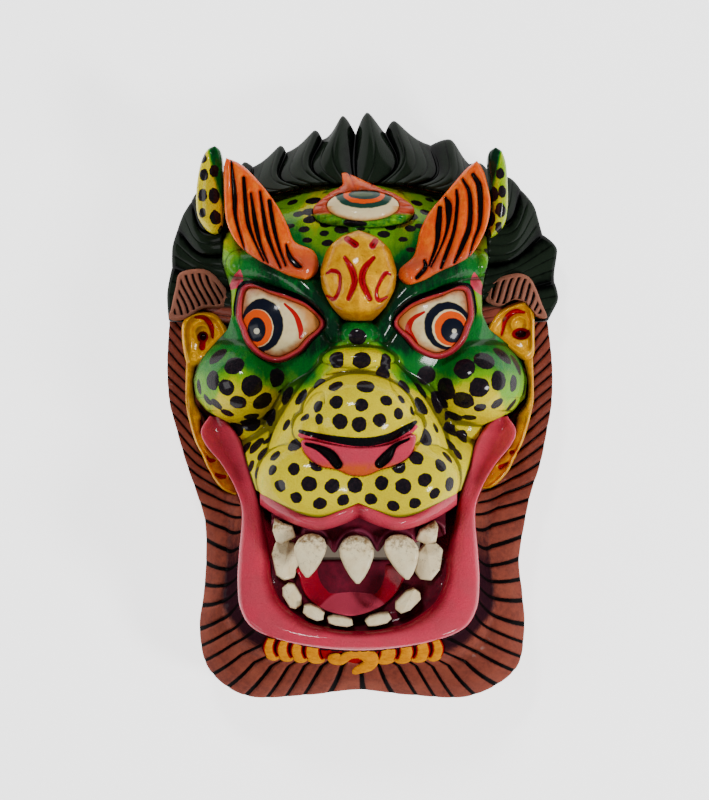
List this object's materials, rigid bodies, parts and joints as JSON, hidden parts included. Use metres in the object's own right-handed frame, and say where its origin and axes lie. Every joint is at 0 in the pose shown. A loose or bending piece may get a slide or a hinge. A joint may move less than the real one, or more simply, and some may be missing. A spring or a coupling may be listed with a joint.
{
  "type": "carved wooden lion mask",
  "caption": "Carved and painted wooden snow lion mask with a locked mane, bulging eyes, a third eye, an open toothed mouth, gold ears and a grooved beard, hollow behind.",
  "frame": {"origin": "bottom centre of the whole box, on the plane of the flat rim of the mask's back", "axes": "+Z out of the face, the way it looks; +Y up the face to the crown; +X to the viewer's right. The mask lies face up on its rim."},
  "size_m": [0.2709, 0.4029, 0.177],
  "materials": {
    "mane_black": "near-black gloss lacquer over carved wood",
    "collar_brown": "red-brown lacquer with black in the grooves",
    "face_green": "green to yellow gloss lacquer with dark spots, crinkled",
    "flame_orange": "orange lacquer with black slots",
    "gold_paint": "gold paint with dark red recesses",
    "lip_pink": "pink to deep red lacquer",
    "gum_maroon": "maroon lacquer",
    "tongue_red": "red lacquer, glossy",
    "tooth_ivory": "ivory paint with brown stains",
    "eye_cream": "cream gloss paint with painted rings"
  },
  "bodies": {
    "root": {"mane": "mane_black", "beard": "collar_brown", "temple_fin_left": "collar_brown", "temple_fin_right": "collar_brown", "face": "face_green", "leaf_ear_left": "face_green", "leaf_ear_right": "face_green", "brow_flame_left": "flame_orange", "brow_flame_right": "flame_orange", "eye_left": "eye_cream", "eye_right": "eye_cream", "eyelid_left": "lip_pink", "eyelid_right": "lip_pink", "third_eye": "eye_cream", "third_eye_flame": "flame_orange", "forehead_jewel": "gold_paint", "nose_pad": "lip_pink", "upper_lip": "lip_pink", "lower_lip": "lip_pink", "upper_gum": "gum_maroon", "lower_gum": "gum_maroon", "tongue": "tongue_red", "upper_tooth_1": "tooth_ivory", "upper_tooth_2": "tooth_ivory", "upper_tooth_3": "tooth_ivory", "upper_tooth_4": "tooth_ivory", "upper_tooth_5": "tooth_ivory", "lower_tooth_1": "tooth_ivory", "lower_tooth_2": "tooth_ivory", "lower_tooth_3": "tooth_ivory", "lower_tooth_4": "tooth_ivory", "lower_tooth_5": "tooth_ivory", "lower_tooth_6": "tooth_ivory", "lower_tooth_7": "tooth_ivory", "gold_ear_left": "gold_paint", "gold_ear_right": "gold_paint", "chin_curls": "gold_paint"}
  },
  "joints": []
}
